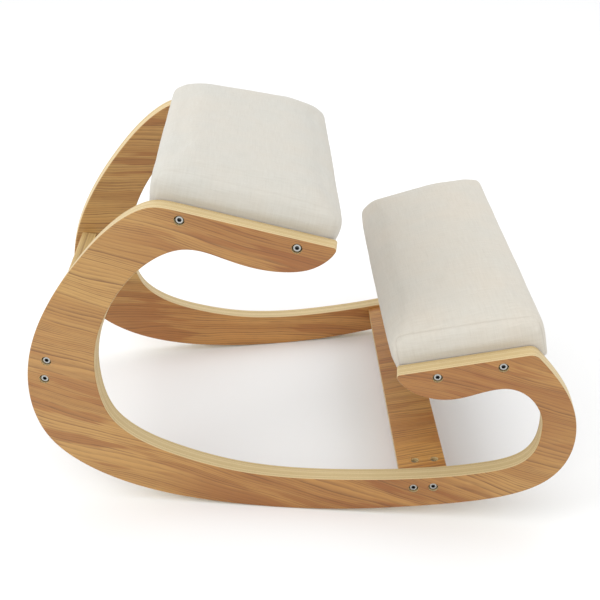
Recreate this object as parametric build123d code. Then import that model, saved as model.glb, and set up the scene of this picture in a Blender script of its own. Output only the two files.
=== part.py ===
"""Rocking kneeling chair: two plywood loop frames, two stretchers, an
upholstered seat and an upholstered knee pad, bolted through the frames.

Axes: +X is the way the sitter faces (knee pad side), +Y the sitter's left,
+Z up.  Origin: middle of the footprint, on the floor under the rockers.
All lengths in millimetres, angles in degrees.
"""
import os
from math import cos, sin, tan, atan, degrees, radians

from build123d import *

# ---------------------------------------------------------------- dimensions
PLY = 24.0               # side frame plywood thickness
SPLAY = 7.0              # each side frame turns outwards towards the knees
HALF_W = 229.5           # half width over the outer faces, at the middle
REST_PITCH = 0.0         # nose-down turn of the whole chair at rest
EASE = 1.6               # eased long edges of the side frames
TIP_R = 4.0              # rounded tips of the seat and knee arms
NOSE_R = 14.0            # rounded upper front corner

SEAT_Z0, SEAT_SLOPE = 403.5, -0.2172     # seat arm top edge: z = Z0 + SLOPE*s
KNEE_Z0, KNEE_SLOPE = 192.0, 0.2410      # knee arm top edge

SEAT_X = (-173.0, 47.0)      # rear and front of the seat cushion
KNEE_X = (125.0, 308.0)      # rear and front of the knee pad
PAD_TOP = 40.0               # cushion top above the frame's top edge
PAD_LOW = 21.0               # underside of the boards below that edge
BOARD_T = 18.0               # upholstery board thickness
COVER_T = 1.5                # fabric cover with its backing
SIDE_GAP = 0.5               # cover to the inner face of each side frame
PAD_TOP_R = 20.0             # rounded top edge of the cushions
PAD_CORNER_R = 26.0          # rounded upright corners of the cushions
HEM = 26.0                   # cover folded in under the board

FRONT_BAR = (169.5, 48.2, 64.0, 22.0, 8.4)     # x, z, width, thickness, tilt
REAR_BAR = (-323.5, 204.0, 58.0, 22.0, 11.9)   # x, z, height, thickness, lean

BOLT_D = 6.0                 # M6 socket head screw
BOLT_HEAD_D, BOLT_HEAD_H = 10.0, 6.0
HEX_AF, HEX_DEPTH = 5.0, 3.2
BOLT_LEN = 50.0              # under the head
HOLE_D = 6.6                 # clearance hole
BORE_D, BORE_DEPTH = 13.0, 8.5   # counterbore in the outer face
NUT_D, NUT_LEN = 10.0, 14.0  # barrel nut
NUT_BACK = 37.0              # barrel nut centre from the counterbore floor

# bolt positions on the outer face, (s, z)
SEAT_BOLTS = [(-138.7, 421.7), (-0.6, 391.3)]
KNEE_BOLTS = [(174.3, 221.1), (253.2, 241.0)]
REAR_BOLTS = [(-323.1, 217.7), (-329.0, 189.9)]
FRONT_BOLTS = [(153.9, 45.9), (179.7, 49.7)]

CA, SA, TA = cos(radians(SPLAY)), sin(radians(SPLAY)), tan(radians(SPLAY))

# side frame outline, (s, z) measured in the plane of the plywood
OUTER = [(-141.5, 434.2), (-171.4, 437.3), (-198.2, 427.0), (-222.4, 409.6),
         (-244.4, 388.8), (-264.6, 366.0), (-283.4, 342.4), (-300.7, 318.0),
         (-316.2, 292.7), (-329.8, 266.3), (-340.8, 238.5), (-348.5, 209.5),
         (-352.2, 179.3), (-351.1, 148.7), (-344.3, 119.4), (-331.1, 93.2),
         (-311.4, 71.4), (-287.2, 53.6), (-260.7, 39.3), (-232.9, 28.0),
         (-204.3, 19.3), (-175.0, 12.6), (-145.2, 7.8), (-115.3, 4.4),
         (-85.3, 2.0), (-55.4, 0.6), (-25.4, 0.0), (4.5, 0.3),
         (34.4, 1.5), (64.3, 3.6), (94.1, 6.6), (123.8, 10.4),
         (153.5, 14.9), (183.2, 19.9), (212.7, 25.5), (242.1, 32.2),
         (270.9, 40.8), (298.6, 52.6), (323.1, 69.4), (341.2, 92.5),
         (350.9, 120.3), (352.5, 150.4), (346.6, 180.2), (334.1, 207.5),
         (317.0, 232.1), (297.4, 254.5)]
INNER = [(127.6, 212.0), (139.0, 201.2), (157.9, 192.3), (179.2, 188.7),
         (200.3, 191.1), (221.7, 198.6), (242.9, 206.5), (263.4, 209.6),
         (282.8, 203.1), (298.8, 187.1), (307.7, 166.9), (309.0, 145.0),
         (305.4, 121.6), (295.1, 103.3), (278.9, 91.0), (258.8, 82.8),
         (237.2, 76.9), (215.5, 71.9), (193.8, 67.8), (172.1, 64.3),
         (150.5, 61.4), (128.8, 58.9), (107.0, 56.9), (85.2, 55.2),
         (63.2, 53.8), (41.2, 52.7), (19.2, 52.0), (-2.8, 51.9),
         (-24.8, 52.5), (-46.6, 53.9), (-68.4, 56.2), (-90.0, 59.6),
         (-111.4, 64.2), (-132.7, 69.8), (-153.7, 76.4), (-174.6, 83.9),
         (-194.9, 92.8), (-213.9, 103.6), (-231.1, 117.0), (-245.0, 133.4),
         (-253.8, 153.0), (-258.5, 174.2), (-260.5, 196.3), (-260.1, 218.4),
         (-257.0, 239.9), (-251.3, 260.9), (-243.3, 281.1), (-233.4, 300.7),
         (-221.7, 319.5), (-208.4, 337.2), (-193.3, 353.2), (-176.3, 366.9),
         (-157.3, 377.7), (-136.6, 383.6), (-115.2, 382.3), (-93.8, 375.8),
         (-72.8, 368.5), (-51.8, 362.9), (-30.4, 359.7), (-8.1, 359.5),
         (13.8, 363.6), (31.5, 373.2), (42.8, 384.6)]


def seat_edge(s):
    return SEAT_Z0 + SEAT_SLOPE * s


def knee_edge(s):
    return KNEE_Z0 + KNEE_SLOPE * s


def half_inner(x):
    """Half the clear width between the side frames at x."""
    return HALF_W + x * TA - PLY / CA


# ---------------------------------------------------------------- side frames
def frame_plane():
    return Plane(origin=(0, -HALF_W, 0), x_dir=(CA, -SA, 0), z_dir=(-SA, -CA, 0))


def on_frame(s, z, depth):
    """Point on the right frame, depth measured inwards from the outer face."""
    return Vector(s * CA + depth * SA, -HALF_W - s * SA + depth * CA, z)


def bolt_location(s, z, depth):
    """Local +Z points inwards along the bolt."""
    plane = Plane(origin=on_frame(s, z, depth), x_dir=(CA, -SA, 0),
                  z_dir=(SA, CA, 0))
    return plane.location


def frame_outline():
    seat_tip = (47.0, seat_edge(47.0))
    seat_back = [(s, seat_edge(s)) for s in (-118.0, -130.0)]
    knee_front = (290.7, knee_edge(290.7))
    knee_tip = (122.4, knee_edge(122.4))
    top = Line(seat_tip, seat_back[0])
    outer = Spline(seat_back + OUTER)
    nose = Line(OUTER[-1], knee_front)
    knee = Line(knee_front, knee_tip)
    inner = Spline([knee_tip] + INNER + [seat_tip])
    face = make_face(Wire([top, outer, nose, knee, inner]))

    def at(point):
        return [v for v in face.vertices()
                if (Vector(v.X, v.Y) - Vector(*point)).length < 0.01]

    face = fillet(at(knee_front), NOSE_R)
    face = fillet(at(knee_tip), TIP_R)
    return fillet(at(seat_tip), TIP_R)


def drilled(frame, bolts):
    for s, z in bolts:
        hole = Cylinder(HOLE_D / 2, PLY * 3)
        bore = Cylinder(BORE_D / 2, BORE_DEPTH * 2)
        frame = frame - bolt_location(s, z, PLY / 2) * hole
        frame = frame - bolt_location(s, z, 0) * bore
    return frame


def side_frame():
    face = frame_plane() * frame_outline()
    plate = extrude(face, amount=-PLY)
    normal = Vector(SA, CA, 0)
    rims = [f for f in plate.faces() if abs(abs(f.normal_at().dot(normal)) - 1) < 1e-6]
    edges = [e for f in rims for e in f.edges()]
    plate = fillet(edges, EASE)
    return drilled(plate, SEAT_BOLTS + KNEE_BOLTS + REAR_BOLTS + FRONT_BOLTS)


# ---------------------------------------------------------------- fasteners
def bolt():
    """Socket head screw, head top at z = -BOLT_HEAD_H, shank along +Z."""
    head = Pos(0, 0, -BOLT_HEAD_H / 2) * Cylinder(BOLT_HEAD_D / 2, BOLT_HEAD_H)
    head = chamfer(head.edges().filter_by(GeomType.CIRCLE).group_by(Axis.Z)[0], 0.6)
    socket = extrude(Plane.XY * RegularPolygon(HEX_AF / 2, 6, major_radius=False),
                     amount=HEX_DEPTH)
    head -= Pos(0, 0, -BOLT_HEAD_H) * socket
    shank = Pos(0, 0, BOLT_LEN / 2) * Cylinder(BOLT_D / 2, BOLT_LEN)
    shank = chamfer(shank.edges().filter_by(GeomType.CIRCLE).group_by(Axis.Z)[-1], 0.8)
    return head + shank


def barrel_nut():
    """Barrel nut, axis along local Y, screw axis along local Z."""
    body = Rot(90, 0, 0) * Cylinder(NUT_D / 2, NUT_LEN)
    body = chamfer(body.edges().filter_by(GeomType.CIRCLE), 0.6)
    return body - Cylinder(BOLT_D / 2 + 0.05, NUT_D * 2)


def nut_location(s, z, lean):
    """lean turns the barrel about the bolt, away from upright."""
    loc = bolt_location(s, z, BORE_DEPTH + NUT_BACK)
    return loc * Rot(0, 0, lean)


def both_sides(parts):
    return Compound(children=[p for p in parts]
                    + [mirror(p, about=Plane.XZ) for p in parts])


def bolt_set(bolts):
    return [bolt_location(s, z, BORE_DEPTH) * bolt() for s, z in bolts]


def nut_set(bolts, lean):
    return [nut_location(s, z, lean) * barrel_nut() for s, z in bolts]


def fastener_voids(bolts, lean, reach):
    """Bolt clearance and barrel nut bore, cut into a board on both sides."""
    cuts = []
    for s, z in bolts:
        shank = Pos(0, 0, 15 + BOLT_LEN / 2) * Cylinder(HOLE_D / 2, BOLT_LEN)
        cuts.append(bolt_location(s, z, BORE_DEPTH) * shank)
        pocket = Pos(0, -reach / 2 + NUT_LEN / 2 + 0.3, 0) * (
            Rot(90, 0, 0) * Cylinder(NUT_D / 2 + 0.2, reach))
        cuts.append(nut_location(s, z, lean) * pocket)
    return cuts + [mirror(c, about=Plane.XZ) for c in cuts]


def cut(solid, tools):
    for t in tools:
        solid = solid - t
    return solid


# ---------------------------------------------------------------- stretchers
def between_frames(gap=0.0):
    pts = [(-500, -half_inner(-500) + gap), (500, -half_inner(500) + gap),
           (500, half_inner(500) - gap), (-500, half_inner(-500) - gap)]
    return Pos(0, 0, -100) * extrude(make_face(Polyline(*pts, close=True)), amount=900)


def stretcher(x, z, width, thick, tilt, upright):
    bar = Box(thick, 640, width) if upright else Box(width, 640, thick)
    edges = bar.edges().filter_by(Axis.Y)
    bar = fillet(edges, 1.5)
    bar = Pos(x, 0, z) * (Rot(0, tilt if upright else -tilt, 0) * bar)
    return bar & between_frames()


def front_stretcher():
    bar = stretcher(*FRONT_BAR, upright=False)
    return cut(bar, fastener_voids(FRONT_BOLTS, FRONT_BAR[4], 30))


def rear_stretcher():
    bar = stretcher(*REAR_BAR, upright=True)
    return cut(bar, fastener_voids(REAR_BOLTS, 90 - REAR_BAR[4], 30))


# ---------------------------------------------------------------- upholstery
class Pad:
    """Local frame: u along the slope, v across, h up from the frame edge."""

    def __init__(self, x0, x1, z0, slope):
        self.slope = atan(slope / CA)
        c, s = cos(self.slope), sin(self.slope)
        mid = (x0 + x1) / 2
        self.origin = Vector(mid, 0, z0 + slope * mid / CA)
        self.plane = Plane(origin=self.origin, x_dir=(c, 0, s), z_dir=(-s, 0, c))
        self.u1 = (x1 - mid) / c
        self.u0 = (x0 - mid) / c
        self.c, self.s, self.mid = c, s, mid

    def half(self, u, h):
        return half_inner(self.mid + u * self.c - h * self.s)

    def block(self, inset, h0, h1, top_r, corner_r):
        """Tapered block, inset from the outside of the cover on every side."""
        g = SIDE_GAP + inset
        a, b = self.u0 + inset, self.u1 - inset
        lo = [(a, -self.half(a, h0) + g), (b, -self.half(b, h0) + g),
              (b, self.half(b, h0) - g), (a, self.half(a, h0) - g)]
        hi = [(a, -self.half(a, h1) + g), (b, -self.half(b, h1) + g),
              (b, self.half(b, h1) - g), (a, self.half(a, h1) - g)]
        low = Plane(origin=(0, 0, h0)) * make_face(Polyline(*lo, close=True))
        high = Plane(origin=(0, 0, h1)) * make_face(Polyline(*hi, close=True))
        body = loft([low, high])
        if corner_r:
            ups = [e for e in body.edges() if abs(e.tangent_at(0.5).Z) > 0.8]
            body = fillet(ups, corner_r)
        if top_r:
            body = fillet(body.faces().sort_by(Axis.Z)[-1].edges(), top_r)
        return body

    def place(self, shape):
        return self.plane.location * shape


def pad_parts(pad, bolts, staple_n):
    low, top = -PAD_LOW, PAD_TOP
    board_top = low + BOARD_T
    outer = pad.block(0, low - COVER_T, top, PAD_TOP_R, PAD_CORNER_R)
    inner = pad.block(COVER_T, low, top - COVER_T, PAD_TOP_R - COVER_T,
                      PAD_CORNER_R - COVER_T)
    span = 2000
    above = Pos(0, 0, board_top + span / 2) * Box(span, span, span)
    board = inner - above
    foam = inner & above
    window = pad.block(HEM, low - 2 * COVER_T, low + 0.01, 0, 12)
    cover = outer - inner - window
    dust = pad.block(HEM + 1.0, low - 1.0, low, 0, 11)

    # staples along the hem, crowns along the edge they hold
    staples, slots = [], []
    hem_mid = HEM * 0.55
    a, b = pad.u0 + hem_mid, pad.u1 - hem_mid
    spots = []
    for i in range(staple_n[0]):
        t = (i + 0.5) / staple_n[0]
        u = a + 12 + (b - a - 24) * t
        v = pad.half(u, low) - hem_mid
        turn = degrees(atan(TA * pad.c))
        spots += [(u, v, turn), (u, -v, -turn)]
    for u in (a, b):
        for i in range(staple_n[1]):
            t = (i + 0.5) / staple_n[1]
            v = (pad.half(u, low) - hem_mid - 20) * (2 * t - 1)
            spots.append((u, v, 90))
    base = low - COVER_T
    for u, v, turn in spots:
        crown = Pos(0, 0, base - 0.35) * Box(11, 1.2, 0.7)
        legs = [Pos(x, 0, base - 0.35 + 3.6) * Box(0.7, 1.2, 7.2) for x in (-5.15, 5.15)]
        staples.append(Pos(u, v, 0) * (Rot(0, 0, turn) * (crown + legs[0] + legs[1])))
        slots.append(Pos(u, v, 0) * (Rot(0, 0, turn) * Compound(children=[
            Pos(x, 0, base + 4.0) * Box(0.72, 1.22, 8.4) for x in (-5.15, 5.15)])))
    holes = Compound(children=slots)
    cover = cover - holes
    board = board - holes

    placed = {"board": pad.place(board), "foam": pad.place(foam),
              "cover": pad.place(cover), "dust_cover": pad.place(dust),
              "staples": pad.place(Compound(children=staples))}

    # screws pass the cover and run into barrel nuts set in from below
    lean = -degrees(pad.slope)
    placed["board"] = cut(placed["board"], fastener_voids(bolts, lean, 30))
    clear = []
    for s, z in bolts:
        shank = Pos(0, 0, 20) * Cylinder(HOLE_D / 2 + 0.4, 26)
        clear.append(bolt_location(s, z, PLY - 16) * shank)
    clear += [mirror(c, about=Plane.XZ) for c in clear]
    placed["cover"] = cut(placed["cover"], clear)
    return placed


# ---------------------------------------------------------------- assembly
def build():
    nodes = {}
    right = side_frame()
    nodes["right_side_frame"] = right
    nodes["left_side_frame"] = mirror(right, about=Plane.XZ)
    nodes["front_stretcher"] = front_stretcher()
    nodes["rear_stretcher"] = rear_stretcher()

    seat = Pad(*SEAT_X, SEAT_Z0, SEAT_SLOPE)
    knee = Pad(*KNEE_X, KNEE_Z0, KNEE_SLOPE)
    for name, shape in pad_parts(seat, SEAT_BOLTS, (5, 7)).items():
        nodes["seat_" + name] = shape
    for name, shape in pad_parts(knee, KNEE_BOLTS, (4, 8)).items():
        nodes["knee_" + name] = shape

    for name, bolts, lean in (("seat", SEAT_BOLTS, -degrees(seat.slope)),
                              ("knee", KNEE_BOLTS, -degrees(knee.slope)),
                              ("front_stretcher", FRONT_BOLTS, FRONT_BAR[4]),
                              ("rear_stretcher", REAR_BOLTS, 90 - REAR_BAR[4])):
        nodes[name + "_bolts"] = both_sides(bolt_set(bolts))
        nodes[name + "_barrel_nuts"] = both_sides(nut_set(bolts, lean))
    return nodes


def main():
    os.makedirs("parts", exist_ok=True)
    nodes = build()
    turn = Rot(0, REST_PITCH, 0)
    nodes = {k: turn * v for k, v in nodes.items()}
    boxes = [v.bounding_box() for v in nodes.values()]
    x = (min(b.min.X for b in boxes) + max(b.max.X for b in boxes)) / 2
    z = min(b.min.Z for b in boxes)
    shift = Pos(-x, 0, -z)
    for name, shape in nodes.items():
        export_step(shift * shape, "parts/" + name + ".step")
        print(name, round(sum(s.volume for s in shape.solids()) / 1000, 1), "cm3",
              len(shape.solids()), "solids")


main()
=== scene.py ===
import math
import bmesh
import bpy
import numpy as np
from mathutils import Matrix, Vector


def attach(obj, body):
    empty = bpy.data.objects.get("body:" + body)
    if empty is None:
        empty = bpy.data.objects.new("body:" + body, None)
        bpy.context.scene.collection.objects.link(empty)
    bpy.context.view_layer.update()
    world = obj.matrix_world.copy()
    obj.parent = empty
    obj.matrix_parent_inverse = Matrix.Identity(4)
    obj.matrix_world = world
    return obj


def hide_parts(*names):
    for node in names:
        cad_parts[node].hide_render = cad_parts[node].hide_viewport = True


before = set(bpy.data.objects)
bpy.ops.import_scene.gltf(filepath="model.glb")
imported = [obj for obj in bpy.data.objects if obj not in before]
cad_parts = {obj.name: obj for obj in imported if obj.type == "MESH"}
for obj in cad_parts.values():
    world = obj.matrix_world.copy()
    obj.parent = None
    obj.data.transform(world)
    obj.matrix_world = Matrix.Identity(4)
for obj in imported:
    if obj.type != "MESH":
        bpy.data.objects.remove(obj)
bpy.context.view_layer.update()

SCENE = bpy.context.scene
MM = 0.001

# ------------------------------------------------------------------ geometry
# the design's own numbers, in metres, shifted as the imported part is
PLY = 24.0 * MM
SPLAY = math.radians(7.0)
HALF_W = 229.5 * MM
CA, SA, TA = math.cos(SPLAY), math.sin(SPLAY), math.tan(SPLAY)
SHIFT = np.array([-1.6704 * MM, 0.0, 0.0144 * MM])
SIDE_GAP, PAD_TOP, PAD_LOW, BOARD_T, COVER_T = (v * MM for v in (0.5, 40.0, 21.0, 18.0, 1.5))
HEM = 26.0 * MM


def smoothstep(x, a, b):
    t = np.clip((x - a) / (b - a), 0.0, 1.0)
    return t * t * (3 - 2 * t)


def noise3(p, seed):
    """Smooth sum of fixed waves over points p (n, 3), about -1..1."""
    rng = np.random.default_rng(seed)
    out = np.zeros(len(p))
    for k in range(7):
        d = rng.normal(size=3)
        d /= np.linalg.norm(d)
        f = rng.uniform(0.6, 1.7)
        out += np.sin(p @ d * f * 2 * math.pi + rng.uniform(0, 6.28)) / (0.8 + f)
    return out / 3.2


# ------------------------------------------------------------------ node kit
class Nodes:
    """Small helpers that build a shader from sockets and numbers."""

    def __init__(self, name):
        self.mat = bpy.data.materials.new(name)
        self.mat.use_nodes = True
        self.nt = self.mat.node_tree
        self.nt.nodes.clear()
        self.out = self.nt.nodes.new("ShaderNodeOutputMaterial")
        self.bsdf = self.nt.nodes.new("ShaderNodeBsdfPrincipled")
        self.nt.links.new(self.bsdf.outputs[0], self.out.inputs[0])

    def put(self, socket, value):
        if isinstance(value, bpy.types.NodeSocket):
            self.nt.links.new(value, socket)
        elif isinstance(value, (tuple, list)) and len(value) == 3 and socket.type == "RGBA":
            socket.default_value = (*value, 1.0)
        else:
            socket.default_value = value

    def new(self, kind, **props):
        n = self.nt.nodes.new(kind)
        for k, v in props.items():
            setattr(n, k, v)
        return n

    def math(self, op, a, b=None, c=None, clamp=False):
        n = self.new("ShaderNodeMath", operation=op, use_clamp=clamp)
        for i, v in enumerate((a, b, c)):
            if v is not None:
                self.put(n.inputs[i], v)
        return n.outputs[0]

    def add(self, a, b): return self.math("ADD", a, b)
    def sub(self, a, b): return self.math("SUBTRACT", a, b)
    def mul(self, a, b): return self.math("MULTIPLY", a, b)
    def power(self, a, b): return self.math("POWER", a, b)

    def vec(self, x, y, z):
        n = self.new("ShaderNodeCombineXYZ")
        for i, v in enumerate((x, y, z)):
            self.put(n.inputs[i], v)
        return n.outputs[0]

    def vmath(self, op, a, b=None):
        n = self.new("ShaderNodeVectorMath", operation=op)
        self.put(n.inputs[0], a)
        if b is not None:
            self.put(n.inputs[1], b)
        return n.outputs["Value"] if op in ("DOT_PRODUCT", "LENGTH") else n.outputs[0]

    def position(self):
        return self.new("ShaderNodeTexCoord").outputs["Object"]

    def noise(self, vector, scale=1.0, detail=2.0, rough=0.5, dist=0.0, dims="3D"):
        n = self.new("ShaderNodeTexNoise", noise_dimensions=dims)
        if dims == "1D":
            self.put(n.inputs["W"], vector)
        else:
            self.put(n.inputs["Vector"], vector)
        self.put(n.inputs["Scale"], scale)
        self.put(n.inputs["Detail"], detail)
        self.put(n.inputs["Roughness"], rough)
        self.put(n.inputs["Distortion"], dist)
        return n.outputs[0]

    def white(self, w):
        n = self.new("ShaderNodeTexWhiteNoise", noise_dimensions="1D")
        self.put(n.inputs["W"], w)
        return n.outputs["Value"]

    def remap(self, x, a, b, c=0.0, d=1.0, smooth=False):
        n = self.new("ShaderNodeMapRange", clamp=True,
                     interpolation_type="SMOOTHSTEP" if smooth else "LINEAR")
        for i, v in enumerate((x, a, b, c, d)):
            self.put(n.inputs[i], v)
        return n.outputs[0]

    def mix(self, fac, a, b, blend="MIX"):
        n = self.new("ShaderNodeMix", data_type="RGBA", blend_type=blend)
        self.put(n.inputs[0], fac)
        self.put(n.inputs[6], a)
        self.put(n.inputs[7], b)
        return n.outputs[2]

    def mixf(self, fac, a, b):
        n = self.new("ShaderNodeMix", data_type="FLOAT")
        self.put(n.inputs[0], fac)
        self.put(n.inputs[2], a)
        self.put(n.inputs[3], b)
        return n.outputs[0]

    def bump(self, height, distance, strength=1.0, normal=None):
        n = self.new("ShaderNodeBump")
        self.put(n.inputs["Strength"], strength)
        self.put(n.inputs["Distance"], distance)
        self.put(n.inputs["Height"], height)
        if normal is not None:
            self.put(n.inputs["Normal"], normal)
        return n.outputs[0]

    def set(self, **inputs):
        for k, v in inputs.items():
            self.put(self.bsdf.inputs[k.replace("_", " ")], v)
        return self.mat


# ------------------------------------------------------------------ woods
LIGHT = (0.570, 0.350, 0.112)
MID = (0.425, 0.222, 0.060)
DARK = (0.165, 0.070, 0.018)
RED = (0.385, 0.158, 0.036)
PALE = (0.655, 0.520, 0.285)


def veneer(n, p, q, seed, tone=None, swirl=1.0):
    """Ring-porous veneer: p runs along the grain, q across it, both in metres.
    Returns (colour, relief)."""
    base = n.vec(n.mul(p, 2.6), n.mul(q, 7.0), seed)
    wander = n.sub(n.noise(base, 1.0, 2.0, 0.5), 0.5)
    fine = n.sub(n.noise(n.vec(n.mul(p, 11.0), n.mul(q, 30.0), seed + 4.0), 1.0, 2.0, 0.5), 0.5)
    qq = n.add(q, n.add(n.mul(wander, 0.062 * swirl), n.mul(fine, 0.0050)))
    # rings of uneven width
    uneven = n.noise(n.add(n.mul(qq, 24.0), seed * 3.7), 1.0, 1.0, 0.5, dims="1D")
    t = n.add(n.mul(qq, 255.0), n.mul(uneven, 6.0))
    ring = n.math("FLOOR", t)
    phase = n.math("FRACT", t)
    rise = n.remap(phase, 0.0, 0.10)
    fall = n.power(n.sub(1.0, phase), 1.7)
    line = n.mul(rise, fall)
    weight = n.remap(n.white(n.add(ring, seed * 13.0)), 0.0, 1.0, 0.30, 1.0)
    line = n.mul(line, weight)
    # short breaks along a ring, as where pores run out
    line = n.mul(line, n.remap(n.noise(n.vec(n.mul(p, 14.0), n.mul(q, 170.0), seed + 57.0), 1.0, 2.0, 0.6),
                               0.34, 0.56, 0.45, 1.25))
    # wide soft bands of redder and paler wood
    band = n.noise(n.vec(n.mul(p, 1.6), n.mul(qq, 30.0), seed + 9.0), 1.0, 2.0, 0.55)
    patch = n.noise(n.vec(n.mul(p, 3.0), n.mul(q, 6.0), seed + 21.0), 1.0, 2.0, 0.5)
    colour = n.mix(n.remap(band, 0.36, 0.62), LIGHT, MID)
    colour = n.mix(n.mul(n.remap(patch, 0.42, 0.70), 0.50), colour, RED)
    # tongues of late wood where the cut runs out of a ring
    tongue = n.noise(n.vec(n.mul(p, 5.5), n.mul(qq, 52.0), seed + 33.0), 1.0, 2.5, 0.55)
    zone = n.remap(n.noise(n.vec(n.mul(p, 2.2), n.mul(q, 5.0), seed + 45.0), 1.0, 1.0, 0.5), 0.38, 0.55)
    colour = n.mix(n.mul(n.remap(tongue, 0.505, 0.555), n.mul(zone, 0.78)), colour, (0.335, 0.130, 0.028))
    colour = n.mix(n.math("MINIMUM", n.mul(line, 0.95), 1.0), colour, DARK)
    if tone is not None:
        colour = n.mix(tone[0], colour, tone[1], tone[2] if len(tone) > 2 else "MULTIPLY")
    # open pores: short dark dashes, mostly in the early wood
    pores = n.noise(n.vec(n.mul(p, 70.0), n.mul(q, 1500.0), seed), 1.0, 1.0, 0.5)
    pore = n.mul(n.remap(pores, 0.56, 0.70), n.remap(line, 0.02, 0.40, 0.25, 1.0))
    fibre = n.noise(n.vec(n.mul(p, 26.0), n.mul(q, 620.0), seed + 2.0), 1.0, 2.0, 0.6)
    colour = n.mix(n.mul(pore, 0.46), colour, (0.150, 0.066, 0.023))
    colour = n.mix(n.remap(fibre, 0.30, 0.70, 0.0, 0.20), colour, (0.27, 0.135, 0.052))
    relief = n.sub(n.mul(n.sub(1.0, line), 0.35), n.mul(pore, 0.8))
    return colour, relief


def plywood(name, origin, along, up, normal, thick, grain, seeds, layers=11, skin=0.65 * MM,
            swirl=1.0, tint=None, raw=False, pale=PALE, warmth=(0.81, 0.69, 0.60), dull=(0.70, 0.60, 0.44)):
    """Veneered plywood. Depth runs from 0 at origin's face to thick along normal."""
    n = Nodes(name)
    rel = n.vmath("SUBTRACT", n.position(), tuple(origin))
    s = n.vmath("DOT_PRODUCT", rel, tuple(along))
    z = n.vmath("DOT_PRODUCT", rel, tuple(up))
    d = n.vmath("DOT_PRODUCT", rel, tuple(normal))
    far = n.math("GREATER_THAN", d, thick / 2)
    g0, g1 = (math.radians(a) for a in grain)
    if tint == "redder":
        # the sheet is honey at the back of the chair and redder towards the runner and the front
        slide = n.add(n.mul(s, 3.0), n.mul(z, -1.0))
        wob = n.noise(n.vec(n.mul(s, 4.0), n.mul(z, 9.0), 71.0), 1.0, 2.0, 0.5)
        slide = n.add(slide, n.mul(n.sub(wob, 0.5), 0.9))
        tint = (n.mul(n.remap(slide, -1.20, -0.45), n.remap(slide, 0.60, 0.95, 1.0, 0.25)), warmth)
    faces = []
    for g, seed in ((g0, seeds[0]), (g1, seeds[1])):
        p = n.add(n.mul(s, math.cos(g)), n.mul(z, math.sin(g)))
        q = n.add(n.mul(s, -math.sin(g)), n.mul(z, math.cos(g)))
        faces.append(veneer(n, p, q, seed, tint, swirl))
    face = n.mix(far, faces[0][0], faces[1][0])
    face_relief = n.mixf(far, faces[0][1], faces[1][1])
    # edge: alternating plies, thin glue lines, fibres along the band or end grain
    pitch = (thick - 2 * skin) / layers
    t = n.math("DIVIDE", n.sub(d, skin), pitch)
    index = n.math("FLOOR", t)
    frac = n.math("FRACT", t)
    odd = n.math("GREATER_THAN", n.math("MODULO", n.add(index, 100.0), 2.0), 0.5)
    rand = n.white(n.add(index, seeds[0] * 7.0))
    streak = n.noise(n.vec(n.mul(s, 45.0), n.mul(z, 45.0), n.mul(d, 1700.0)), 1.0, 2.0, 0.6)
    dots = n.noise(n.vec(n.mul(s, 900.0), n.mul(z, 900.0), n.mul(d, 900.0)), 1.0, 1.0, 0.5)
    shade = n.add(n.mul(odd, 0.26), n.mul(rand, 0.55))
    shade = n.add(shade, n.mul(n.sub(n.mixf(odd, streak, dots), 0.5), 0.55))
    drift = n.noise(n.vec(n.mul(s, 5.0), n.mul(z, 5.0), seeds[1]), 1.0, 1.0, 0.5)
    shade = n.add(shade, n.mul(n.sub(drift, 0.5), 0.5))
    edge = n.mix(n.remap(shade, 0.0, 0.9), pale, tuple(c * k for c, k in zip(pale, dull)))
    glue = n.math("LESS_THAN", n.math("ABSOLUTE", n.sub(frac, 0.5)), 0.455)
    glue = n.sub(1.0, glue)
    deep = n.math("GREATER_THAN", n.white(n.add(index, 3.3 + seeds[0])), 0.66)
    edge = n.mix(n.mul(glue, n.mixf(deep, 0.30, 0.75)), edge, (0.27, 0.16, 0.07))
    inside = n.math("GREATER_THAN", n.sub(thick / 2 - skin, n.math("ABSOLUTE", n.sub(d, thick / 2))), 0.0)
    colour = n.mix(inside, face, edge)
    relief = n.mixf(inside, face_relief, n.add(n.mul(n.sub(1.0, glue), 0.5), n.mul(streak, 0.25)))
    rough = n.remap(n.noise(n.position(), 60.0, 3.0, 0.6), 0.3, 0.7,
                    0.62 if raw else 0.40, 0.78 if raw else 0.52)
    rough = n.mixf(inside, rough, 0.62)
    return n.set(Base_Color=colour, Roughness=rough,
                 Normal=n.bump(relief, 0.00016, 0.55),
                 Coat_Weight=0.0 if raw else 0.12, Coat_Roughness=0.32)


def frame_ply(name, side, grain, seeds, tint):
    """side -1: right frame (towards -Y), +1: left frame."""
    origin = Vector((SHIFT[0], side * HALF_W, SHIFT[2]))
    # the left frame's edge colour and its redder tint are lighter than the right frame's: painted light that makes
    # up for the shade on its inner face, which faces into the chair
    return plywood(name, origin, (CA, side * SA, 0.0), (0, 0, 1.0), (SA, -side * CA, 0.0),
                   PLY, grain, seeds, tint=tint, pale=PALE if side < 0 else (0.690, 0.545, 0.300),
                   warmth=(0.78, 0.62, 0.48) if side < 0 else (1.14, 0.97, 0.82))


def setmat(node, mat):
    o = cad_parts[node]
    o.data.materials.clear()
    o.data.materials.append(mat)


right_ply = frame_ply("ply_right", -1, (-16.0, -9.0), (3.0, 8.0), "redder")
left_ply = frame_ply("ply_left", 1, (-6.0, -5.5), (15.0, 27.0), "redder")
setmat("right_side_frame", right_ply)
setmat("left_side_frame", left_ply)

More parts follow.
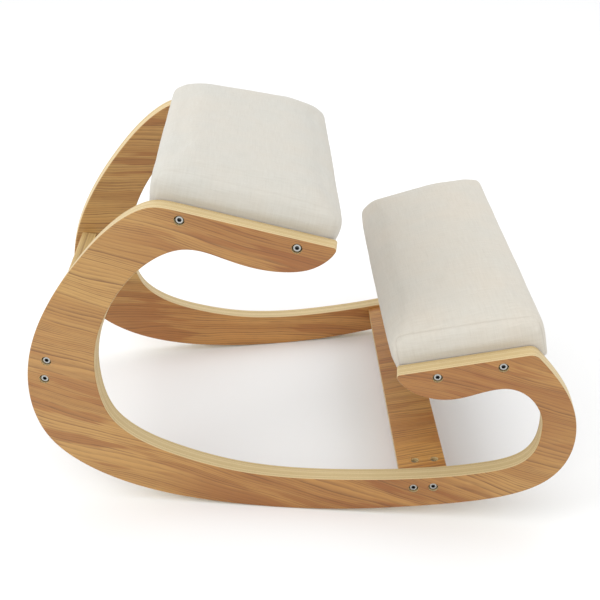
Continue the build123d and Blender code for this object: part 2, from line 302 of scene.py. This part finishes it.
# stretchers: short grain across the board, as cut from the same sheet
tilt = math.radians(8.4)
front_origin = np.array([169.5, 0, 48.2]) * MM + SHIFT - 11 * MM * np.array([-math.sin(tilt), 0, math.cos(tilt)])
setmat("front_stretcher", plywood(
    "ply_front_stretcher", front_origin, (math.cos(tilt), 0, math.sin(tilt)), (0, 1.0, 0),
    (-math.sin(tilt), 0, math.cos(tilt)), 22 * MM, (4.0, 2.0), (41.0, 47.0), swirl=1.5,
    tint=(1.0, (1.19, 1.02, 0.80))))
lean = math.radians(11.9)
rear_normal = np.array([math.cos(lean), 0, -math.sin(lean)])
rear_origin = np.array([-323.5, 0, 204.0]) * MM + SHIFT - 11 * MM * rear_normal
setmat("rear_stretcher", plywood(
    "ply_rear_stretcher", rear_origin, (0, 1.0, 0), (math.sin(lean), 0, math.cos(lean)),
    tuple(rear_normal), 22 * MM, (88.0, 86.0), (53.0, 59.0), layers=9, swirl=1.3,
    pale=(0.68, 0.49, 0.21), dull=(0.40, 0.30, 0.22)))


# ------------------------------------------------------------------ fabric
def pad_axes(slope):
    a = math.atan(slope / CA)
    return a, np.array([math.cos(a), 0, math.sin(a)]), np.array([-math.sin(a), 0, math.cos(a)])


def linen(name, origin, udir, hdir, tint=(1.0, 1.0, 1.0), painted_seam_shade=0.4):
    """Plain weave with slubs. The threads follow the pad: u along it, v across, h up."""
    n = Nodes(name)
    rel = n.vmath("SUBTRACT", n.position(), tuple(origin))
    u = n.vmath("DOT_PRODUCT", rel, tuple(udir))
    v = n.vmath("DOT_PRODUCT", rel, (0, 1.0, 0))
    h = n.vmath("DOT_PRODUCT", rel, tuple(hdir))
    normal = n.new("ShaderNodeNewGeometry").outputs["True Normal"]
    wts = []
    for axis in (udir, (0, 1.0, 0), hdir):
        wts.append(n.power(n.math("ABSOLUTE", n.vmath("DOT_PRODUCT", normal, tuple(axis))), 4.0))
    total = n.add(n.add(wts[0], wts[1]), n.add(wts[2], 0.0001))

    def weave(a, b, seed):
        """Threads along a and along b, over and under each other."""
        wob_a = n.mul(n.sub(n.noise(n.vec(n.mul(a, 9.0), n.mul(b, 120.0), seed), 1.0, 1.0), 0.5), 0.0011)
        wob_b = n.mul(n.sub(n.noise(n.vec(n.mul(a, 120.0), n.mul(b, 9.0), seed + 5.0), 1.0, 1.0), 0.5), 0.0011)
        pitch = 2 * math.pi / 0.00155
        ta = n.math("SINE", n.mul(n.add(a, wob_b), pitch))
        tb = n.math("SINE", n.mul(n.add(b, wob_a), pitch))
        over = n.mul(ta, tb)
        # slubs: threads that are thicker or darker over a few centimetres
        sa = n.noise(n.vec(n.mul(a, 42.0), n.mul(b, 760.0), seed + 1.0), 1.0, 1.0, 0.5)
        sb = n.noise(n.vec(n.mul(a, 760.0), n.mul(b, 42.0), seed + 2.0), 1.0, 1.0, 0.5)
        la = n.noise(n.vec(n.mul(a, 22.0), n.mul(b, 330.0), seed + 3.0), 1.0, 1.0, 0.5)
        lb = n.noise(n.vec(n.mul(a, 330.0), n.mul(b, 22.0), seed + 4.0), 1.0, 1.0, 0.5)
        tone = n.add(n.add(n.sub(sa, 0.5), n.sub(sb, 0.5)), n.mul(n.add(n.sub(la, 0.5), n.sub(lb, 0.5)), 0.6))
        height = n.add(n.mul(over, 0.5), n.mul(tone, 0.9))
        return over, tone, height

    tops = weave(u, v, 1.0)
    ends = weave(u, h, 11.0)
    fronts = weave(v, h, 23.0)

    def blend(i):
        x = n.add(n.add(n.mul(wts[2], tops[i]), n.mul(wts[1], ends[i])), n.mul(wts[0], fronts[i]))
        return n.math("DIVIDE", x, total)

    over, tone, height = blend(0), blend(1), blend(2)
    cloud = n.noise(n.position(), 14.0, 3.0, 0.55)
    base = tuple(c * k for c, k in zip((0.540, 0.522, 0.470), tint))
    warm = tuple(c * k for c, k in zip((0.556, 0.521, 0.457), tint))
    dim = tuple(c * k for c, k in zip((0.440, 0.415, 0.362), tint))
    light = tuple(c * k for c, k in zip((0.612, 0.598, 0.550), tint))
    colour = n.mix(n.remap(cloud, 0.35, 0.65), base, warm)
    colour = n.mix(n.remap(tone, 0.02, 0.55, 0.0, 0.36), colour, dim)
    colour = n.mix(n.remap(tone, -0.02, -0.55, 0.0, 0.40), colour, light)
    # painted shade: the colour is darker where a thread dips under the crossing one
    colour = n.mix(n.remap(over, -1.0, -0.2, 0.26, 0.0), colour, dim)
    # painted shade in the seam groove: the cloth is darker where the seam mask is high
    seam_shade_mask = n.new("ShaderNodeAttribute", attribute_name="seam_shade_mask").outputs["Fac"]
    colour = n.mix(n.mul(seam_shade_mask, painted_seam_shade), colour, tuple(c * k for c, k in zip((0.34, 0.30, 0.25), tint)))
    rough = n.remap(over, -1.0, 1.0, 0.96, 0.86)
    return n.set(Base_Color=colour, Roughness=rough, Normal=n.bump(height, 0.00022, 0.60),
                 Sheen_Weight=0.18, Sheen_Roughness=0.45, Specular_IOR_Level=0.25)


def plain_cloth(name, colour_a, colour_b, scale=900.0):
    """Non-woven cloth: pressed random fibres with a fine dimple pattern."""
    n = Nodes(name)
    pos = n.position()
    fib = n.noise(pos, scale, 4.0, 0.65, 1.2)
    soft = n.noise(pos, 35.0, 2.0, 0.5)
    sx = n.new("ShaderNodeSeparateXYZ")
    n.put(sx.inputs[0], pos)
    dim = n.mul(n.math("SINE", n.mul(sx.outputs[0], 3600.0)), n.math("SINE", n.mul(sx.outputs[1], 3600.0)))
    colour = n.mix(n.remap(n.add(fib, n.mul(n.sub(soft, 0.5), 0.5)), 0.3, 0.75), colour_a, colour_b)
    colour = n.mix(n.remap(dim, 0.4, 1.0, 0.0, 0.4), colour, colour_a)
    return n.set(Base_Color=colour, Roughness=n.remap(fib, 0.3, 0.7, 0.82, 0.95),
                 Normal=n.bump(n.add(fib, n.mul(dim, 0.3)), 0.00012, 0.6), Specular_IOR_Level=0.3)


def foam_material():
    """Cut polyurethane foam: open cells of two sizes."""
    n = Nodes("foam_cells")
    pos = n.position()
    v = n.new("ShaderNodeTexVoronoi", feature="F1")
    n.put(v.inputs["Vector"], pos)
    n.put(v.inputs["Scale"], 900.0)
    cell = v.outputs["Distance"]
    soft = n.noise(pos, 30.0, 2.0, 0.5)
    colour = n.mix(n.remap(cell, 0.2, 0.8), (0.62, 0.55, 0.36), (0.86, 0.80, 0.62))
    colour = n.mix(n.remap(soft, 0.3, 0.7, 0.0, 0.3), colour, (0.80, 0.70, 0.48))
    return n.set(Base_Color=colour, Roughness=n.remap(cell, 0.0, 1.0, 0.98, 0.88),
                 Normal=n.bump(cell, 0.0004, 0.7))


def steel(name, colour, rough, scale=1.0, socket=False):
    """Zinc plated steel: turned rings are too small to show, so fine scratches and dull patches."""
    n = Nodes(name)
    pos = n.position()
    patch = n.noise(pos, 500.0 * scale, 3.0, 0.6)
    scratch = n.noise(n.vmath("MULTIPLY", pos, (6000.0, 700.0, 700.0)), 1.0, 2.0, 0.6)
    tone = n.remap(n.add(n.mul(patch, 0.7), n.mul(scratch, 0.3)), 0.3, 0.7)
    shade = n.mix(tone, tuple(c * 0.86 for c in colour), tuple(min(1, c * 1.08) for c in colour))
    if socket:
        # painted shade in the hexagon sockets: the colour goes nearly black with depth below the frame's outer face
        rel = n.vmath("SUBTRACT", n.vmath("ABSOLUTE", n.vmath("MULTIPLY", pos, (0.0, 1.0, 0.0))), (0.0, HALF_W, 0.0))
        flat = n.vmath("DOT_PRODUCT", n.vmath("SUBTRACT", pos, tuple(SHIFT)), (1.0, 0.0, 0.0))
        deep = n.sub(n.mul(flat, SA), n.mul(n.vmath("DOT_PRODUCT", rel, (0.0, 1.0, 0.0)), CA))
        shade = n.mix(n.remap(deep, 2.75 * MM, 4.0 * MM, 0.0, 0.94), shade, (0.035, 0.035, 0.037))
    return n.set(Base_Color=shade, Metallic=1.0,
                 Roughness=n.remap(patch, 0.3, 0.7, rough - 0.06, rough + 0.10),
                 Normal=n.bump(scratch, 0.00003, 0.4))


bolt_mat = steel("steel_bolt", (0.46, 0.46, 0.44), 0.30, socket=True)
nut_mat = steel("steel_nut", (0.66, 0.66, 0.64), 0.36)
staple_mat = steel("steel_staple", (0.74, 0.73, 0.70), 0.28)
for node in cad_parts:
    if node.endswith("_bolts"):
        setmat(node, bolt_mat)
    elif node.endswith("_barrel_nuts"):
        setmat(node, nut_mat)
    elif node.endswith("_staples"):
        setmat(node, staple_mat)


# ------------------------------------------------------------------ cushions
class Pad:
    """Local frame of a cushion: u along its slope, v across, h up from the frame edge."""

    def __init__(self, x0, x1, z0, slope):
        x0, x1, z0 = x0 * MM, x1 * MM, z0 * MM
        self.angle, self.udir, self.hdir = pad_axes(slope)
        self.c, self.s = math.cos(self.angle), math.sin(self.angle)
        self.mid = (x0 + x1) / 2
        self.origin = np.array([self.mid, 0, z0 + slope * self.mid / CA])
        self.u1 = (x1 - self.mid) / self.c
        self.u0 = -self.u1

    def half(self, u, h):
        """Half the clear width between the side frames there."""
        x = self.mid + u * self.c - h * self.s
        return HALF_W + x * TA - PLY / CA

    def world(self, p):
        return self.origin + SHIFT + np.outer(p[:, 0], self.udir) + np.outer(p[:, 1], (0, 1, 0)) \
            + np.outer(p[:, 2], self.hdir)

    def contour(self, inset, h, radius, count=240):
        """Points round the tapered, round-cornered outline at height h."""
        a, b = self.u0 + inset, self.u1 - inset
        w = self.half(0, 0) - SIDE_GAP - inset
        r = max(radius - inset, 1.5 * MM)
        pts = []
        per = count // 4
        for cx, cy, start in ((b - r, w - r, 0), (a + r, w - r, 90), (a + r, -w + r, 180), (b - r, -w + r, 270)):
            for k in range(per):
                t = math.radians(start + 90 * k / (per - 1))
                pts.append((cx + r * math.cos(t), cy + r * math.sin(t)))
        pts = np.array(pts)
        # spread the points evenly along the outline
        ring = np.vstack([pts, pts[:1]])
        seg = np.r_[0, np.cumsum(np.hypot(*np.diff(ring, axis=0).T))]
        t = np.linspace(0, seg[-1], count, endpoint=False)
        pts = np.c_[np.interp(t, seg, ring[:, 0]), np.interp(t, seg, ring[:, 1])]
        half = self.half(pts[:, 0], h) - SIDE_GAP - inset
        pts[:, 1] *= half / w
        return np.c_[pts, np.full(count, h)]


def mesh_from(name, verts, faces):
    me = bpy.data.meshes.new(name)
    me.from_pydata([tuple(v) for v in verts], [], [list(f) for f in faces])
    me.update()
    return me


def rings_to_mesh(name, rings, cap_first, cap_last):
    n = len(rings[0])
    verts = np.vstack(rings)
    faces = []
    for i in range(len(rings) - 1):
        for k in range(n):
            a, b = i * n + k, i * n + (k + 1) % n
            faces.append((a, b, b + n, a + n))
    if cap_first:
        faces.append(tuple(reversed(range(n))))
    if cap_last:
        faces.append(tuple(range((len(rings) - 1) * n, len(rings) * n)))
    return mesh_from(name, verts, faces)


def evaluated(obj):
    dg = bpy.context.evaluated_depsgraph_get()
    return bpy.data.meshes.new_from_object(obj.evaluated_get(dg))


def coords(me):
    co = np.zeros(len(me.vertices) * 3)
    me.vertices.foreach_get("co", co)
    return co.reshape(-1, 3)


def set_coords(me, co):
    me.vertices.foreach_set("co", np.ascontiguousarray(co, dtype=np.float32).ravel())
    me.update()


def relax(me, co, fixed, rounds, amount=0.5):
    """Laplacian smoothing; fixed is 0 for free points, 1 for points that stay."""
    edges = np.zeros(len(me.edges) * 2, int)
    me.edges.foreach_get("vertices", edges)
    edges = edges.reshape(-1, 2)
    count = np.bincount(edges.ravel(), minlength=len(co)).astype(float)[:, None]
    for _ in range(rounds):
        total = np.zeros_like(co)
        np.add.at(total, edges[:, 0], co[edges[:, 1]])
        np.add.at(total, edges[:, 1], co[edges[:, 0]])
        co = co + (total / count - co) * amount * (1 - fixed)[:, None]
    return co


def inflate(me, pin, pressure, cap_m, frames=20):
    """Cloth under inner pressure, pinned where pin is 1. Moves are capped."""
    obj = bpy.data.objects.new("cloth_run", me)
    SCENE.collection.objects.link(obj)
    group = obj.vertex_groups.new(name="pin")
    for i, w in enumerate(pin):
        if w > 0.001:
            group.add([i], float(w), "REPLACE")
    cloth = obj.modifiers.new("cloth", "CLOTH")
    st = cloth.settings
    st.quality = 6
    st.mass = 0.25
    st.air_damping = 2.0
    st.tension_stiffness = 14
    st.compression_stiffness = 14
    st.shear_stiffness = 6
    st.bending_stiffness = 1.2
    st.use_pressure = True
    st.uniform_pressure_force = pressure
    st.vertex_group_mass = "pin"
    st.pin_stiffness = 1.0
    st.effector_weights.gravity = 0.0
    cloth.collision_settings.use_collision = False
    cloth.point_cache.frame_start = 1
    cloth.point_cache.frame_end = frames + 2
    before = coords(me)
    for f in range(1, frames + 1):
        SCENE.frame_set(f)
    blown = evaluated(obj)
    after = coords(blown)
    bpy.data.objects.remove(obj)
    SCENE.frame_set(1)
    nor = np.zeros(len(me.vertices) * 3)
    me.vertices.foreach_get("normal", nor)
    nor = nor.reshape(-1, 3)
    move = after - before
    # firm foam inside: the cloth may swell but not cut into the block
    move += nor * np.maximum(-(move * nor).sum(1), 0)[:, None]
    size = np.linalg.norm(move, axis=1, keepdims=True) + 1e-9
    capped = cap_m * np.tanh(size / cap_m)
    return before + move * capped / size


def base_normal(pad, p, corner, shoulder):
    """Unit normal field of the plain rounded block, in the local frame."""
    half = pad.half(p[:, 0], p[:, 2]) - SIDE_GAP
    du = np.sign(p[:, 0]) * np.maximum(np.abs(p[:, 0]) - (pad.u1 - corner), 0) / corner
    dv = np.sign(p[:, 1]) * np.maximum(np.abs(p[:, 1]) - (half - shoulder), 0) / shoulder
    dh = np.maximum(p[:, 2] - (PAD_TOP - shoulder), 0) / shoulder
    g = np.c_[du, dv, dh]
    length = np.linalg.norm(g, axis=1, keepdims=True)
    return g / np.maximum(length, 1e-6), length[:, 0]


def cushion(name, pad, fabric, pressure, cap_m, crown, seam_depth, seed, voxel=6.0 * MM,
            corner=13 * MM, shoulder=21 * MM, lower=0.5 * MM, belly=None, droop=None):
    """Cover (closed form with a folded-in hem) and foam core of one cushion."""
    low = -PAD_LOW
    bottom = low - COVER_T
    top = PAD_TOP - lower
    rings = [pad.contour(0.3 * MM, bottom, corner)]
    for h in np.linspace(bottom, top - shoulder, 7)[1:]:
        rings.append(pad.contour(0.3 * MM, h, corner))
    for k in range(1, 9):
        a = math.radians(90 * k / 8)
        rings.append(pad.contour(0.3 * MM + shoulder * (1 - math.cos(a)), top - shoulder + shoulder * math.sin(a),
                                 corner + 12 * MM * math.sin(a)))
    raw = rings_to_mesh(name + "_raw", rings, True, True)
    obj = bpy.data.objects.new("remesh_run", raw)
    SCENE.collection.objects.link(obj)
    rm = obj.modifiers.new("remesh", "REMESH")
    rm.mode = "VOXEL"
    rm.voxel_size = voxel
    me = evaluated(obj)
    bpy.data.objects.remove(obj)
    co = coords(me)
    pin = 1 - smoothstep(co[:, 2], -3 * MM, 9 * MM)
    co = inflate(me, pin, pressure, cap_m)
    for _ in range(4):
        co = relax(me, co, 0.75 * pin, 1, 0.5)
        co = relax(me, co, 0.75 * pin, 1, -0.51)

    # crown along the length as well, and rounder front and rear edges
    ru = co[:, 0] / pad.u1
    rv = co[:, 1] / (pad.half(co[:, 0], co[:, 2]) + 1e-6)
    lift = smoothstep(co[:, 2], 4 * MM, 36 * MM)
    co[:, 2] += lift * crown * (1 - np.abs(ru) ** 2.2) * (1 - np.abs(rv) ** 3)
    # the long sides belly out between board and top edge, and the top falls off towards them
    side = smoothstep(np.abs(ru), 0.62, 1.0)
    height = smoothstep(co[:, 2], low + 2 * MM, 6 * MM) * (1 - 0.45 * smoothstep(co[:, 2], 22 * MM, 40 * MM))
    out_f, out_r = (a + b * rv - c * np.abs(rv) ** 5 for a, b, c in belly)
    co[:, 0] += side * height * np.where(ru > 0, out_f, -out_r) * MM
    drop_f, drop_r = (
        amount * smoothstep(sign * ru, start, end) * (near + (1 - near) * smoothstep(rv, -0.6, 0.9))
        for sign, amount, start, end, near in droop)
    co[:, 2] -= smoothstep(co[:, 2], 8 * MM, 38 * MM) * (drop_f + drop_r) * MM
    # keep clear of the side frames where they stand beside the cushion
    limit = pad.half(co[:, 0], co[:, 2]) - SIDE_GAP + 2.5 * MM * smoothstep(co[:, 2], 2 * MM, 14 * MM)
    co[:, 1] = np.clip(co[:, 1], -limit, limit)
    set_coords(me, co)

    # foam core, cut flat at the board's top
    core = me.copy()
    nor = np.zeros(len(core.vertices) * 3)
    core.vertices.foreach_get("normal", nor)
    set_coords(core, co - nor.reshape(-1, 3) * 2.2 * MM)
    bm = bmesh.new()
    bm.from_mesh(core)
    geom = bm.verts[:] + bm.edges[:] + bm.faces[:]
    cut = bmesh.ops.bisect_plane(bm, geom=geom, plane_co=(0, 0, low + BOARD_T + 0.2 * MM),
                                 plane_no=(0, 0, -1), clear_outer=True)
    rim = [e for e in cut["geom_cut"] if isinstance(e, bmesh.types.BMEdge)]
    bmesh.ops.holes_fill(bm, edges=rim, sides=0)
    bm.to_mesh(core)
    bm.free()
    set_coords(core, pad.world(coords(core)))
    foam = bpy.data.objects.new(name + "_foam_block", core)
    SCENE.collection.objects.link(foam)

    # open the bottom, then fold the hem in under the board
    bm = bmesh.new()
    bm.from_mesh(me)
    bm.normal_update()
    gone = [f for f in bm.faces if f.calc_center_median().z < bottom + 2.2 * MM and f.normal.z < -0.45]
    bmesh.ops.delete(bm, geom=gone, context="FACES")
    bmesh.ops.delete(bm, geom=[v for v in bm.verts if not v.link_faces], context="VERTS")
    edges = [e for e in bm.edges if e.is_boundary]
    loop = [edges[0].verts[0], edges[0].verts[1]]
    links = {}
    for e in edges:
        for v in e.verts:
            links.setdefault(v, []).append(e.other_vert(v))
    while True:
        nxt = [v for v in links[loop[-1]] if v is not loop[-2]]
        if not nxt or nxt[0] is loop[0]:
            break
        loop.append(nxt[0])
    dense = {k: pad.contour(k * MM, bottom, corner, 1200) for k in (1.0,)}
    here = np.array([tuple(v.co) for v in loop])
    d = ((here[:, None, :2] - dense[1.0][None, :, :2]) ** 2).sum(2)
    where = d.argmin(1)
    for v, k in zip(loop, where):
        v.co = Vector(dense[1.0][k])
    profile = [(2.4, 0.0), (7.0, 0.0), (13.0, 0.0), (19.0, 0.0), (23.5, 0.0), (25.2, 0.1), (25.8, 0.9), (26.0, 1.8)]
    ring = loop
    wave = noise3(np.c_[here[:, :2] * 28, np.zeros(len(here))], seed + 3)
    for inset, rise in profile:
        pts = pad.contour(inset * MM, bottom, corner, 1200)[where]
        new = []
        for i, p in enumerate(pts):
            w = 0.35 * MM * wave[i] * (1 if 5 < inset < 25 else 0)
            new.append(bm.verts.new((p[0], p[1], bottom + rise * MM + min(w, 0.0) * 0.8)))
        for i in range(len(ring)):
            j = (i + 1) % len(ring)
            bm.faces.new((ring[i], ring[j], new[j], new[i]))
        ring = new
    bmesh.ops.recalc_face_normals(bm, faces=bm.faces[:])
    bm.to_mesh(me)
    bm.free()
    sub_obj = bpy.data.objects.new("sub_run", me)
    SCENE.collection.objects.link(sub_obj)
    sub = sub_obj.modifiers.new("sub", "SUBSURF")
    sub.levels = sub.render_levels = 2
    fine = evaluated(sub_obj)
    bpy.data.objects.remove(sub_obj)
    bm = bmesh.new()
    bm.from_mesh(fine)
    bmesh.ops.holes_fill(bm, edges=[e for e in bm.edges if e.is_boundary], sides=0)
    bm.to_mesh(fine)
    bm.free()

    # seams where the end panels meet the long panel, and slight puckers beside them
    co = coords(fine)
    nor = np.zeros(len(fine.vertices) * 3)
    fine.vertices.foreach_get("normal", nor)
    nor = nor.reshape(-1, 3)
    field, reach = base_normal(pad, co, corner, shoulder)
    angle = np.arccos(np.clip(np.abs(field[:, 1]), 0, 1))
    upright = field[:, 0] ** 2 / (field[:, 0] ** 2 + field[:, 2] ** 2 + 1e-9)
    dist = (angle - np.radians(56.0 - 20.0 * upright + 22.0 * upright * (1 - upright))) * (23 - 6 * upright) * MM
    live = smoothstep(reach, 0.55, 0.85) * smoothstep(co[:, 2], bottom + 1 * MM, bottom + 6 * MM)
    groove = np.exp(-(dist / (1.7 * MM)) ** 2)
    puff = np.exp(-((np.abs(dist) - 6.5 * MM) / (4.5 * MM)) ** 2)
    along = noise3(co * 55, seed)
    pucker = np.exp(-(dist / (7 * MM)) ** 2) * along * 0.28 * MM
    moved = live * (-seam_depth * groove + 0.30 * seam_depth * puff + pucker)
    # soft unevenness of hand-pulled cloth over foam
    loose = smoothstep(co[:, 2], -1 * MM, 14 * MM)
    moved += loose * (0.55 * MM * noise3(co * 9, seed + 1) + 0.14 * MM * noise3(co * 34, seed + 2))
    # tension folds that run down from the upright corners to the board
    fold = np.abs(field[:, 0] * field[:, 1]) * 2
    low_part = (1 - smoothstep(co[:, 2], -6 * MM, 22 * MM)) * smoothstep(co[:, 2], bottom + 1 * MM, bottom + 8 * MM)
    moved += 0.5 * MM * fold * low_part * np.sin(np.arctan2(co[:, 1], co[:, 0]) * 95 + seed)
    co = co + nor * moved[:, None]
    limit = pad.half(co[:, 0], co[:, 2]) - 0.25 * MM + 2.8 * MM * smoothstep(co[:, 2], 2 * MM, 14 * MM)
    co[:, 1] = np.clip(co[:, 1], -limit, limit)
    # mask of the seam groove, which the linen uses to paint shade there
    attr = fine.attributes.new("seam_shade_mask", "FLOAT", "POINT")
    attr.data.foreach_set("value", (live * np.exp(-(dist / (1.0 * MM)) ** 2)).astype(np.float32))
    set_coords(fine, pad.world(co))
    fine.shade_smooth()
    fine.name = name + "_cover_cloth"
    cover = bpy.data.objects.new(name + "_cover_cloth", fine)
    SCENE.collection.objects.link(cover)
    cover.data.materials.clear()
    cover.data.materials.append(fabric)
    return cover, foam


def dust_sheet(name, pad, seed):
    """Thin cloth stapled under the board: a closed skin 0.6 mm thick that sags a little."""
    low = -PAD_LOW
    count, steps = 160, 26
    outline = pad.contour(HEM + 0.6 * MM, low, 38 * MM, count)
    centre = np.array([0.0, 0.0, low])
    rings = []
    for k in range(steps, 0, -1):
        t = k / steps
        p = outline.copy()
        p[:, :2] = centre[:2] + (outline[:, :2] - centre[:2]) * t
        rings.append(p)
    top = [r.copy() for r in rings]
    low_side = [r.copy() for r in rings]

    def sag(p, t):
        wave = noise3(p * np.array([16, 11, 1]), seed) * 0.35 + noise3(p * np.array([50, 40, 1]), seed + 1) * 0.10
        return (0.55 + 0.45 * wave) * MM * (1 - t ** 6)

    for i, k in enumerate(range(steps, 0, -1)):
        t = k / steps
        s = sag(top[i], t)
        top[i][:, 2] = low - 0.15 * MM - s
        low_side[i][:, 2] = low - 0.75 * MM - s
    seq = list(reversed(top)) + low_side
    verts = np.vstack(seq)
    me = rings_to_mesh(name, seq, True, True)
    set_coords(me, pad.world(verts))
    bm = bmesh.new()
    bm.from_mesh(me)
    bmesh.ops.recalc_face_normals(bm, faces=bm.faces[:])
    bm.to_mesh(me)
    bm.free()
    me.shade_smooth()
    obj = bpy.data.objects.new(name, me)
    SCENE.collection.objects.link(obj)
    flat = 2 * (pad.u1 - HEM), 2 * (pad.half(0, low) - HEM)
    return obj, flat


seat_pad = Pad(-173.0, 47.0, 403.5, -0.2172)
knee_pad = Pad(125.0, 308.0, 192.0, 0.2410)
foam_mat = foam_material()
dust_mat = plain_cloth("dust_cloth_fibres", (0.018, 0.018, 0.020), (0.060, 0.060, 0.065))

for label, pad, args in (
        ("seat", seat_pad, dict(pressure=4.0, cap_m=5 * MM, crown=2.0 * MM, seam_depth=0.25 * MM, seed=5,
                               belly=((4.8, 0.0, 1.0), (3.0, 0.0, 1.0)),
                               droop=((1, 8.5, 0.42, 1.0, 0.6), (-1, 7.0, 0.55, 1.0, 0.6)))),
        ("knee", knee_pad, dict(pressure=4.0, cap_m=5 * MM, crown=2.0 * MM, seam_depth=0.30 * MM, seed=17,
                               belly=((4.2, 3.8, 0.0), (6.0, 0.5, 3.0)),
                               droop=((1, 8.5, 0.15, 1.0, 0.55), (-1, 2.5, 0.70, 1.0, 1.0))))):
    fabric = linen(label + "_linen", pad.origin + SHIFT, pad.udir, pad.hdir,
                   # the knee pad's linen is a lighter, slightly warmer copy of the seat's: the extra lightness is
                   # painted light
                   (1.0, 1.0, 1.0) if label == "seat" else (1.05, 1.03, 1.01),
                   # strength of the painted shade in the seam groove
                   0.12 if label == "seat" else 0.34)
    cover, foam = cushion(label, pad, fabric, **args)
    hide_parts(label + "_cover")
    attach(cover, "root")
    foam.data.materials.clear()
    foam.data.materials.append(foam_mat)
    foam.data.shade_smooth()
    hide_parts(label + "_foam")
    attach(foam, "root")
    sheet, flat = dust_sheet(label + "_dust_sheet", pad, 31)
    sheet.data.materials.clear()
    sheet.data.materials.append(dust_mat)
    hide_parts(label + "_dust_cover")
    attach(sheet, "root")
    c, s = math.cos(pad.angle), math.sin(pad.angle)
    board = plywood(label + "_board_ply", pad.origin + SHIFT - pad.hdir * PAD_LOW, pad.udir, (0, 1.0, 0),
                    pad.hdir, BOARD_T, (90.0, 90.0), (61.0, 67.0), layers=9, raw=True,
                    tint=(0.6, (1.15, 1.2, 1.3)))
    setmat(label + "_board", board)


# ------------------------------------------------------------------ studio
def floor():
    size, n = 9.0, 24
    bm = bmesh.new()
    bmesh.ops.create_grid(bm, x_segments=n, y_segments=n, size=size)
    me = bpy.data.meshes.new("studio_floor")
    bm.to_mesh(me)
    bm.free()
    o = bpy.data.objects.new("studio_floor", me)
    SCENE.collection.objects.link(o)
    o.location.z = -0.0004
    n = Nodes("studio_white")
    cloud = n.noise(n.position(), 1.5, 2.0, 0.5)
    n.set(Base_Color=n.mix(cloud, (0.90, 0.90, 0.90), (0.93, 0.93, 0.925)), Roughness=0.9)
    o.data.materials.append(n.mat)


def area(name, place, target, size, power, colour=(1, 1, 1)):
    data = bpy.data.lights.new(name, "AREA")
    data.shape = "RECTANGLE"
    data.size, data.size_y = size
    data.energy = power
    data.color = colour
    o = bpy.data.objects.new(name, data)
    SCENE.collection.objects.link(o)
    o.location = place
    o.rotation_euler = (Vector(target) - Vector(place)).to_track_quat("-Z", "Y").to_euler()


floor()
area("key_soft", (-2.2, -0.7, 2.1), (0, 0, 0.25), (2.2, 2.2), 30.0, (0.97, 0.985, 1.0))
area("fill_front", (1.2, -2.6, 1.5), (0, 0, 0.25), (2.0, 2.0), 12.0, (1.0, 0.99, 0.975))
area("top_soft", (0.3, 0.7, 2.8), (0, 0, 0.1), (2.4, 2.4), 14.0)
world = bpy.data.worlds.new("studio")
SCENE.world = world
world.use_nodes = True
world.node_tree.nodes["Background"].inputs[0].default_value = (0.985, 0.993, 1.0, 1)
world.node_tree.nodes["Background"].inputs[1].default_value = 1.0

SCENE.view_settings.view_transform = "Standard"
SCENE.view_settings.look = "None"
SCENE.view_settings.exposure = 0.0

cam_data = bpy.data.cameras.new("camera")
cam_data.sensor_width = 36.0
cam_data.lens = 1001.0 / 600.0 * 36.0
cam_data.clip_end = 50
cam = bpy.data.objects.new("camera", cam_data)
SCENE.collection.objects.link(cam)
cam.location = Vector((-30.6, -1283.7, 903.7)) * MM + Vector(SHIFT)
cam.rotation_euler = Vector((0.02798, 0.87562, -0.48220)).to_track_quat("-Z", "Y").to_euler()
SCENE.camera = cam
